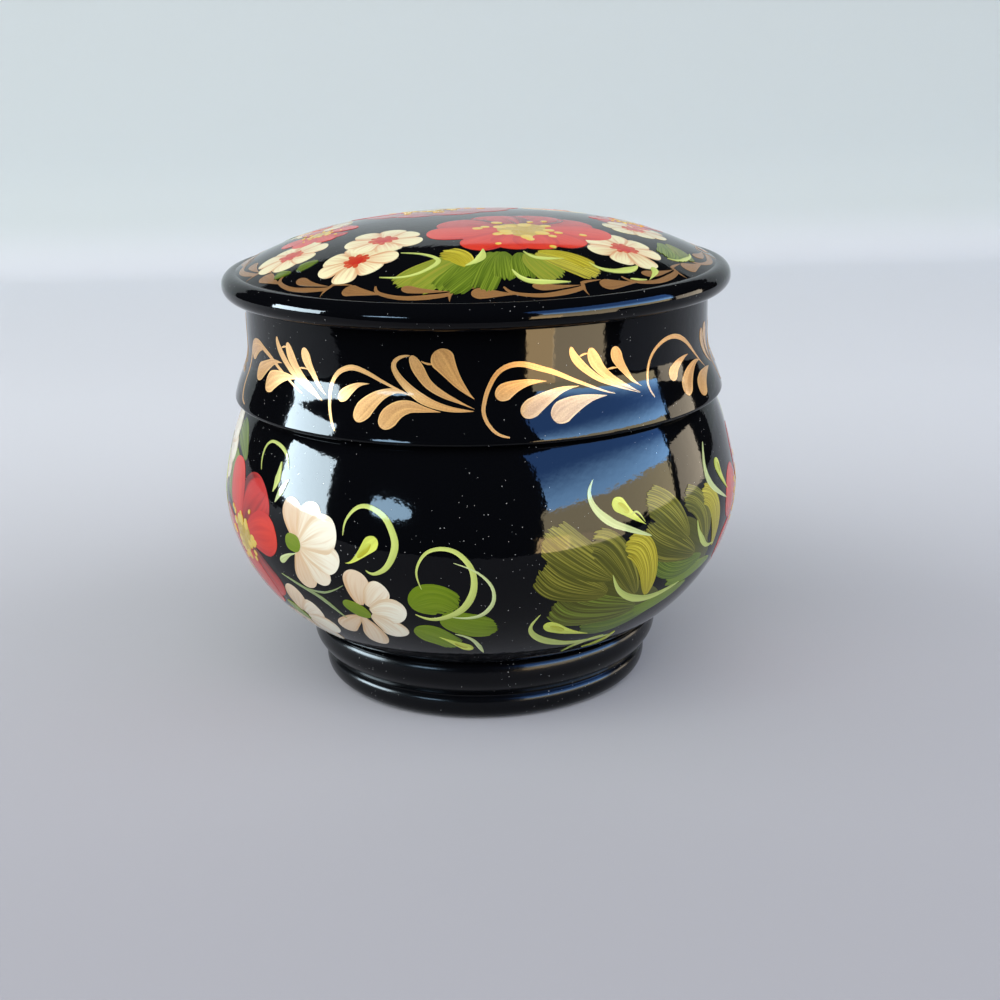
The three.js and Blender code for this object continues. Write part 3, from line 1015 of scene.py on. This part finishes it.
def paintLeaves(paint, canvas, strokes, shape="sweep"):
    for layer, (points, width, tone, edge) in enumerate(strokes):
        bristles = max(brushing["fewestBristles"], round(width * brushing["bristlesPerMillimetre"]))
        brush(paint, canvas, points, width, tones[tone], tones[edge], shape, layer,
              (brushing["leafRows"], bristles), rag=raggedStarts[shape])


# Strokes of points, width, shape and tone
sprigs = {
    "loop": [
        ([(-4.5, 0.3), (-4, 2.7), (-2.3, 4.7), (-0.2, 5.1), (2.5, 3.7), (4.1, 0.8), (4.1, -1.4),
            (2.7, -4), (0.6, -5.3), (-0.8, -4.9)], 1.35, "tendril", "tendril"),
        ([(-4.2, -4.1), (-2.4, -3.2), (1.2, 0.5)], 2.7, "comma", "bud"),
    ],
    "doubleLoop": [
        ([(-4.2, -0.9), (-4.8, 2.2), (-3.4, 5), (-1, 5.9), (1.6, 5.2), (3.6, 2.6), (3.7, -0.9),
            (2.1, -4.2), (-0.4, -6.1), (-3.2, -6.9), (-5.6, -6)], 1.25, "tendril", "tendril"),
        ([(0.9, 3.7), (4.3, 2.2), (6.4, -0.2), (6.6, -3), (5, -5.5), (2.8, -6.4),
            (0.2, -6.3)], 0.75, "tendril", "paleTendril"),
        ([(-2.4, -11.4), (-0.4, -12.8), (2.4, -15.2)], 2.2, "comma", "bud"),
        ([(0.2, -10.4), (2.8, -12.2), (4, -16.5)], 0.9, "tendril", "paleTendril"),
    ],
    "leafSprig": [
        ([(-1.5, 1.5), (0.5, -2.1), (4.2, -4.6), (8.4, -5.4), (14.6, -4.5)], 1.7, "hook", "tendril"),
        ([(-4.1, 17), (-5.1, 14.8), (-4.3, 12.4), (-1.9, 10.1), (1.1, 8.6),
            (5.4, 6.7)], 1.6, "hook", "paleTendril"),
        ([(4.4, 8.7), (1.6, 10.8), (-1.2, 13.5)], 2.6, "comma", "bud"),
        ([(1.6, 10.6), (2.9, 10.9), (4.3, 9.1)], 0.35, "line", "tendril"),
        ([(-12.4, -4.4), (-13.2, -7.4), (-11.3, -10.2), (-7.7, -12.6), (-3.5, -14),
            (3, -14.2)], 1.6, "hook", "tendril"),
        ([(-2.4, -11.4), (-6.9, -9.4), (-11.1, -6.8)], 2.5, "comma", "bud"),
        ([(-4.4, -17.6), (-2.6, -14.8), (1.6, -13.6)], 1.2, "hook", "tendril"),
        ([(-0.8, -17.4), (2.3, -16.2), (3.8, -13.4)], 1.7, "hook", "bud"),
    ],
    "sideSprig": [
        ([(0.6, 3.4), (1.6, 0.9), (4.6, -2), (7.7, -2.6)], 1.3, "hook", "tendril"),
        ([(6, 14.9), (4.8, 10.8), (6.4, 7.5), (12.1, 4.1)], 1.4, "hook", "paleTendril"),
        ([(13, 5.4), (10.4, 8.4), (9.3, 11.4)], 2.2, "comma", "bud"),
    ],
    "thinLoop": [
        ([(-0.9, -1.6), (-1.3, 0.3), (-0.8, 2.3), (0.9, 3.3), (3.6, 2.9), (5.3, 1.8),
            (6.4, -0.2)], 0.7, "tendril", "tendril"),
        ([(3.4, -4.3), (4.2, -2), (4.4, 0.7)], 1.5, "hook", "tendril"),
        ([(4.3, -5.8), (5.7, -3.4), (6.9, -1.7)], 1.4, "hook", "paleTendril"),
    ],
    "stem": [
        ([(-7.9, 2), (-4, 0.9), (0.4, -0.8), (3.8, -4.4)], 0.9, "tendril", "sage"),
        ([(-2.4, 0.6), (1, 0.6), (3.6, 1.6), (5.9, 3)], 0.4, "line", "sage"),
    ],
    "flare": [([(-0.3, -2.3), (-2.4, -3.1), (-4.8, -4.7)], 1.4, "comma", "paleTendril")],
}
sprigShape = {"across": 4, "edgeGrass": 0.3, "budMiddle": (0.1, 0.75), "budWidth": 0.5}


def paintSprig(paint, canvas, strokes, layer):
    for points, width, shape, tone in strokes:
        edge = mixColour(tones[tone], tones["grass"], sprigShape["edgeGrass"])
        pressed = width * brushing["lightHand"]
        rows = brushing["sprigRows"] + brushing["rowsPerPoint"] * len(points)
        brush(paint, canvas, points, pressed, tones[tone], edge, shape, layer, (rows, sprigShape["across"]))
        if tone == "bud":                       # a darker touch left wet in the middle
            first, last = Vector(points[1]), Vector(points[2])
            middle = [tuple(first.lerp(last, share)) for share in sprigShape["budMiddle"]]
            brush(paint, canvas, middle, pressed * sprigShape["budWidth"], tones["core"], edge, "dab",
                  layer + 1, strokeGrids["budMiddle"])


# The bowl: three bouquets, each starting at a poppy, the widest one at the photographed front

# A poppy's angle, height and turn; then kinds with their angle from the poppy, height and turn
bouquets = {
    "poppies": [(-63, 30.8, 0), (81.5, 31.3, -30), (191, 32, 0)], "poppyReach": 13,
    "blossoms": [("turned", 12, 18.9, -20), ("turned", 35, 23.5, 0), ("open", 22, 34, 0)],
    "sprigs": [("thinLoop", 9, 44.5), ("stem", 25, 25), ("flare", 22, 34), ("loop", 40, 36),
               ("doubleLoop", 56, 29.6)],
    "flatLeaves": (56, 29.6),
    "front": {
        "leaves": [("edge", -1.5, 44), ("small", 113, 30.5), ("large", 92, 27.5)],
        "sprigs": [("leafSprig", 92, 27.5), ("sideSprig", 113, 30.5)],
        "blossoms": [("open", -21, 43.5, 15)],
    },
    "back": {"leaves": [("large", 82, 28)], "sprigs": [("leafSprig", 82, 28)], "blossoms": []},
}

bowlLeaves = newPaint("bowlLeaves", "leafPaint")
bowlBlossoms = newPaint("bowlBlossoms", "petalPaint")
bowlPoppies = newPaint("bowlPoppies", "poppyPaint")
bowlTendrils = newPaint("bowlTendrils", "tendrilPaint")
bowlStamens = newPaint("bowlStamens", "dotPaint")
for i, (start, poppyHeight, poppyTurn) in enumerate(bouquets["poppies"]):
    more = bouquets["back" if i else "front"]
    for kind, angle, height in more["leaves"]:
        paintLeaves(bowlLeaves, bowlCanvas(start + angle, height), leafFans[kind])
    angle, height = bouquets["flatLeaves"]
    paintLeaves(bowlLeaves, bowlCanvas(start + angle, height), leafFans["flat"], "pad")
    for kind, angle, height, turn in bouquets["blossoms"] + more["blossoms"]:
        paintBlossom(bowlBlossoms, bowlTendrils, bowlCanvas(start + angle, height, turn), kind)
    poppyCanvas = bowlCanvas(start, poppyHeight, poppyTurn)
    paintPoppy(bowlPoppies, bowlStamens, poppyCanvas, bouquets["poppyReach"], "bowl")
    for kind, angle, height in bouquets["sprigs"] + more["sprigs"]:
        paintSprig(bowlTendrils, bowlCanvas(start + angle, height), sprigs[kind], paintLayers["sprig"])
for paint in (bowlLeaves, bowlBlossoms, bowlPoppies, bowlTendrils, bowlStamens):
    finishPaint(paint, "bowl")


# The lid: the front half of a round bouquet and the same again turned about, inside a bronze border

# Places seen from above, +x to the right and -y to the front
lidBouquet = {
    "poppies": [(-25.5, -4, 6.8, "bowl"), (7.4, -14.5, 14.2, "lid")],
    "daisies": [
        (-29.3, -14, 5.8), (-14.4, -17.3, 6.4), (-18.3, -24.7, 6.3), (23, -19.3, 6.2), (26, -4.6, 5.7),
    ],
    "leaves": [
        ([(-11.9, -35.1), (-7, -31), (-1, -26.6)], 4.6, "paleMoss", "paleOlive"),
        ([(-9.4, -36.7), (-5.5, -33), (-1, -28)], 4.6, "paleMoss", "paleOlive"),
        ([(-5.6, -37.5), (-3.5, -34), (-1.5, -29.5)], 4.2, "moss", "paleMoss"),
        ([(-5.6, -26.2), (-2.8, -27.6), (-1.2, -31.4)], 4.4, "gold", "sun"),
        ([(-4.2, -37.7), (-0.5, -33), (2.4, -26.6)], 4.2, "moss", "paleMoss"),
        ([(0.6, -37.9), (2, -33), (3.4, -26.4)], 4.2, "moss", "paleMoss"),
        ([(4.6, -35.2), (4.4, -31), (4.2, -26.4)], 3.8, "moss", "paleMoss"),
        ([(7.8, -34.6), (7.2, -31), (6.6, -26.6)], 4.4, "moss", "paleMoss"),
        ([(12.2, -34), (9.4, -30.4), (7.6, -26.8)], 4.8, "paleMoss", "paleOlive"),
        ([(18.4, -31.2), (14, -29), (9, -26.6)], 4.6, "paleOlive", "sun"),
        ([(17.6, -29), (13.6, -26.4), (9.4, -25.8)], 3.2, "gold", "sun"),
        ([(30.5, -18), (30.8, -14.5), (29.6, -11)], 4.4, "moss", "paleMoss"),
        ([(33.4, -15.6), (32.6, -12.5), (30.8, -10)], 3.4, "moss", "paleOlive"),
        ([(-28, -21.8), (-26, -21), (-24.4, -20.6)], 2.6, "moss", "paleMoss"),
        ([(-31.6, -20.2), (-30.2, -21), (-28.6, -21.6)], 2.2, "moss", "paleMoss"),
    ],
    "sprigs": [
        ([(-11.4, -24.6), (-7.6, -26.4), (-5.6, -28.9), (-6.8, -31), (-9, -32.4), (-11.4, -32.6),
            (-14.4, -31.6)], 0.9, "hook", "tendril"),
        ([(1.1, -25.3), (0.6, -28.9), (-1.6, -31.1)], 1.7, "hook", "tendril"),
        ([(13.3, -27.5), (9.2, -28.1), (7.2, -26)], 1.1, "hook", "tendril"),
        ([(13.9, -34), (8.9, -35), (6.6, -34.3), (5.3, -32.2)], 1.4, "hook", "tendril"),
        ([(17, -27.5), (18.6, -28.8), (21, -28.6), (23.5, -26.8),
            (24.6, -25)], 1.5, "tendril", "tendril"),
        ([(26.1, -28.4), (27.2, -25.6), (27.1, -23.9)], 1.3, "comma", "tendril"),
        ([(23.1, -29.7), (24.4, -29.3), (25.7, -28.6)], 0.5, "line", "tendril"),
        ([(30, -18.2), (32.3, -16.9), (34.2, -13.1), (34.3, -11.2)], 0.9, "hook", "tendril"),
    ],
}
daisyShape = {                      # shares of the daisy's reach, and ranges to draw from
    "petals": 7, "petalSway": 0.1, "petalTip": (0.88, 1.06), "petalLine": (0.16, 0.6, 1),
    "petalRose": (0, 0.3), "petalWidth": (0.6, 0.74), "middle": 0.27, "middleWidth": 0.46,
    "touches": 9, "touchSway": 0.3, "touchStart": 0.18, "touchEnd": (0.3, 0.4), "touchRose": (0, 0.7),
    "touchWidth": 0.14, "mostTurn": 50,
}


def paintDaisy(paint, dots, canvas, reach):
    look = daisyShape
    for i in range(look["petals"]):
        turn = math.tau * (i + random.uniform(-look["petalSway"], look["petalSway"])) / look["petals"]
        tip = reach * random.uniform(*look["petalTip"])
        points = [(tip * share * math.cos(turn), tip * share * math.sin(turn))
                  for share in look["petalLine"]]
        base = mixColour(tones["tan"], tones["rose"], random.uniform(*look["petalRose"]))
        width = reach * random.uniform(*look["petalWidth"])
        brush(paint, canvas, points, width, base, tones["butter"], "petal", i,
              strokeGrids["daisyPetal"], True)
    middle = [(-look["middle"] * reach, 0), (look["middle"] * reach, 0)]
    brush(dots, canvas, middle, look["middleWidth"] * reach, tones["red"], tones["brick"], "dab",
          paintLayers["daisyMiddle"], strokeGrids["daisyMiddle"])
    for i in range(look["touches"]):
        turn = math.tau * (i + random.uniform(-look["touchSway"], look["touchSway"])) / look["touches"]
        away = Vector((math.cos(turn), math.sin(turn))) * reach
        touch = [tuple(away * look["touchStart"]), tuple(away * random.uniform(*look["touchEnd"]))]
        tone = mixColour(tones["brick"], tones["rose"], random.uniform(*look["touchRose"]))
        brush(dots, canvas, touch, look["touchWidth"] * reach, tone, tones["brick"], "dab",
              paintLayers["daisyTouch"], strokeGrids["spot"])


lidLeaves = newPaint("lidLeaves", "leafPaint")
lidDaisies = newPaint("lidDaisies", "petalPaint")
lidPoppies = newPaint("lidPoppies", "poppyPaint")
lidTendrils = newPaint("lidTendrils", "tendrilPaint")
lidStamens = newPaint("lidStamens", "dotPaint")
lidBorder = newPaint("lidBorder", "bronzePaint")
for half in (0, 180):
    wayRound = Matrix.Rotation(math.radians(half), 2)
    paintLeaves(lidLeaves, domeCanvas(0, 0, half), lidBouquet["leaves"])
    for x, y, reach, kind in lidBouquet["poppies"]:
        paintPoppy(lidPoppies, lidStamens, domeCanvas(*(wayRound @ Vector((x, y))), half), reach, kind)
    for x, y, reach in lidBouquet["daisies"]:
        turn = half + random.uniform(0, daisyShape["mostTurn"])
        paintDaisy(lidDaisies, lidStamens, domeCanvas(*(wayRound @ Vector((x, y))), turn), reach)
    paintSprig(lidTendrils, domeCanvas(0, 0, half), lidBouquet["sprigs"], paintLayers["lidSprig"])

# One unit of the border: x along the edge from its curl, y inwards
lidBand = {
    "units": 12, "firstAngle": 24.5, "radius": 37.5,
    "tendril": ([(-12, 0.7), (-10.8, -0.8), (-7.5, -1.6), (-4.3, -1.5), (-0.3, -0.7), (0.3, 0.4),
        (3.6, 0.6)], 1.0),
    "leaves": [
        ([(-0.3, -0.1), (-4.9, 0), (-7.7, 0.6)], 1.6), ([(9.5, -1.1), (6, -0.8), (2.8, -0.5)], 2.4),
    ],
    "tail": ([(-0.1, -2.4), (-0.2, -1.7), (-0.2, -0.6)], 0.5),
}


def borderCanvas(angle, radius):
    def canvas(x, y, lift):
        turn, inner = math.radians(angle) + x / radius, radius - y
        return domeCanvas(inner * math.sin(turn), -inner * math.cos(turn))(0, 0, lift)
    return canvas


for i in range(lidBand["units"]):
    canvas = borderCanvas(lidBand["firstAngle"] + 360 / lidBand["units"] * i, lidBand["radius"])
    bronze = goldLook["bronze"]
    points, width = lidBand["tendril"]
    brush(lidBorder, canvas, points, width, bronze, shape="scroll", grid=strokeGrids["borderTendril"])
    points, width = lidBand["tail"]
    brush(lidBorder, canvas, points, width, bronze, layer=1, grid=strokeGrids["borderTail"])
    for points, width in lidBand["leaves"]:
        brush(lidBorder, canvas, points, width, bronze, layer=2, grid=strokeGrids["borderLeaf"])
for paint in (lidLeaves, lidDaisies, lidPoppies, lidTendrils, lidStamens, lidBorder):
    finishPaint(paint, "lid")


# Floor with a low backdrop, light and camera

stage = {
    "front": -0.13, "back": 0.49, "cove": 0.05, "coveSteps": 10, "height": 0.36, "halfWidth": 0.6,
    # The near tone is painted shade and the far tone painted light: the floor darkens towards the front
    "near": screenColour(169, 170, 177), "far": screenColour(220, 224, 230), "paintedShadeFade": (-0.12, 0.22),
    "wall": screenColour(202, 210, 211), "roughness": 0.9, "specular": 0.1,
}


def makeStage():
    shape = bmesh.new()
    cove, back = stage["cove"], stage["back"]
    turns = [math.radians(90 * i / stage["coveSteps"]) for i in range(stage["coveSteps"] + 1)]
    line = [(stage["front"], 0)]
    line += [(back - cove + cove * math.sin(turn), cove - cove * math.cos(turn)) for turn in turns]
    line += [(back, stage["height"])]
    chain = [shape.verts.new((-stage["halfWidth"], y, z)) for y, z in line]
    edges = [shape.edges.new(pair) for pair in zip(chain, chain[1:])]
    drawn = bmesh.ops.extrude_edge_only(shape, edges=edges)
    moved = [item for item in drawn["geom"] if isinstance(item, bmesh.types.BMVert)]
    bmesh.ops.translate(shape, verts=moved, vec=(2 * stage["halfWidth"], 0, 0))
    bmesh.ops.recalc_face_normals(shape, faces=shape.faces)
    for face in shape.faces:
        face.smooth = True
    floor = meshPiece("floor", shape)
    material, tree, shader = newMaterial("palePaper")
    parts = addParts(tree, objectPlace(tree))
    # painted shade: the floor's colour darkens from the far tone to the near one towards the front
    away = addRange(tree, parts["Y"], *stage["paintedShadeFade"], smooth=True)
    up = addRange(tree, parts["Z"], 0.0, cove / 2, smooth=True)
    plug(tree, shader, {
        "Base Color": addMix(tree, up, addMix(tree, away, stage["near"], stage["far"]), stage["wall"]),
        "Roughness": stage["roughness"], "Specular IOR Level": stage["specular"],
    })
    floor.data.materials.append(material)


makeStage()

# Direction from the box in degrees, size in metres and radiance
# Gleams are seen in the lacquer, and fills light the paint
lamps = {
    "rightGleam": {"azimuth": 60, "elevation": 24, "size": (1.3, 0.56), "radiance": (1.0, 2.8, 8.0),
                   "lowRadiance": (7.9, 15.5, 27)},
    "warmGleam": {"azimuth": 58, "elevation": 3, "size": (1.3, 0.19), "radiance": (11, 9.2, 5.7)},
    "groundGleam": {"azimuth": 29, "elevation": -11, "size": (0.23, 0.3), "radiance": (21, 14.6, 7.4)},
    "stoneGleam": {"azimuth": 48.4, "elevation": -11, "size": (0.46, 0.3), "radiance": (12.6, 10, 6.4)},
    "brownGleam": {"azimuth": 104, "elevation": -3, "size": (0.34, 0.48), "radiance": (7, 6, 4.6)},
    "leftGleam": {"azimuth": -83, "elevation": 8.6, "size": (0.5, 0.335), "radiance": (36, 44, 49)},
    "smallGleam": {"azimuth": -39, "elevation": 7.5, "size": (0.33, 0.1), "radiance": (18, 27.5, 37),
                   "shape": "ELLIPSE"},
    "frontFill": {"azimuth": -15, "elevation": 38, "size": (1.2, 1.0), "radiance": (2.7, 2.7, 2.7)},
    "rightFill": {"azimuth": 62, "elevation": 33, "size": (1.2, 0.95), "radiance": (1.6, 1.6, 1.66)},
    "leftFill": {"azimuth": -80, "elevation": 30, "size": (0.8, 0.9), "radiance": (2.1, 2.1, 2.1)},
    "overFill": {"azimuth": 180, "elevation": 75, "size": (1.6, 1.6), "radiance": (0.3, 0.3, 0.31)},
}
boxMiddle = Vector((0, 0, 0.045))
lowShare = 0.5                      # the low radiance fades out up to this share of a panel's height


def makeLamp(name, look):
    azimuth, elevation = math.radians(look["azimuth"]), math.radians(look["elevation"])
    level = math.cos(elevation)
    away = Vector((math.sin(azimuth) * level, -math.cos(azimuth) * level, math.sin(elevation)))
    light = bpy.data.lights.new(name, "AREA")
    light.shape = look.get("shape", "RECTANGLE")
    light.size, light.size_y = look["size"]
    area = math.prod(look["size"]) * (math.pi / 4 if light.shape == "ELLIPSE" else 1)
    light.energy = math.pi * area
    light.use_nodes = True
    tree = light.node_tree
    top, foot = (*look["radiance"], 1), (*look.get("lowRadiance", look["radiance"]), 1)
    spread = addParts(tree, addNode(tree, "ShaderNodeNewGeometry").outputs["Parametric"])
    share = addRange(tree, spread["Y"], 0, lowShare, smooth=True)
    plug(tree, tree.nodes["Emission"].inputs, {"Color": addMix(tree, share, foot, top)})
    lamp = bpy.data.objects.new(name, light)
    lamp.location = boxMiddle + away                        # a metre off
    lamp.rotation_euler = (-away).to_track_quat("-Z", "Y").to_euler()
    lamp.visible_camera = False
    lamp.visible_diffuse = name.endswith("Fill")
    lamp.visible_glossy = name.endswith("Gleam")
    bpy.context.scene.collection.objects.link(lamp)


for name, look in lamps.items():
    makeLamp(name, look)

room = {"dark": (0.02, 0.02, 0.022, 1), "pale": (0.66, 0.71, 0.73, 1)}


def makeRoom():
    world = bpy.data.worlds.new("room")
    world.use_nodes = True
    bpy.context.scene.world = world
    tree = world.node_tree
    seen = addNode(tree, "ShaderNodeLightPath").outputs["Is Camera Ray"]
    plug(tree, tree.nodes["Background"].inputs, {"Color": addMix(tree, seen, room["dark"], room["pale"])})


makeRoom()
bpy.context.scene.view_settings.view_transform = "Standard"

cameraPlace = {
    "distance": 0.2639, "height": 0.1109, "pitch": 17.16, "yaw": 0.69, "roll": -1.22,
    "lens": 56.45, "sensor": 36, "nearest": 0.01,
}


def makeCamera():
    data = bpy.data.cameras.new("camera")
    data.lens = cameraPlace["lens"]
    data.sensor_width = cameraPlace["sensor"]
    data.clip_start = cameraPlace["nearest"]
    camera = bpy.data.objects.new("camera", data)
    camera.matrix_world = (
        Matrix.Translation((0, -cameraPlace["distance"], cameraPlace["height"]))
        @ Matrix.Rotation(math.radians(-cameraPlace["yaw"]), 4, "Z")
        @ Matrix.Rotation(math.radians(90 - cameraPlace["pitch"]), 4, "X")
        @ Matrix.Rotation(math.radians(cameraPlace["roll"]), 4, "Z"))
    bpy.context.scene.collection.objects.link(camera)
    bpy.context.scene.camera = camera


makeCamera()
print("stage, light and camera set")
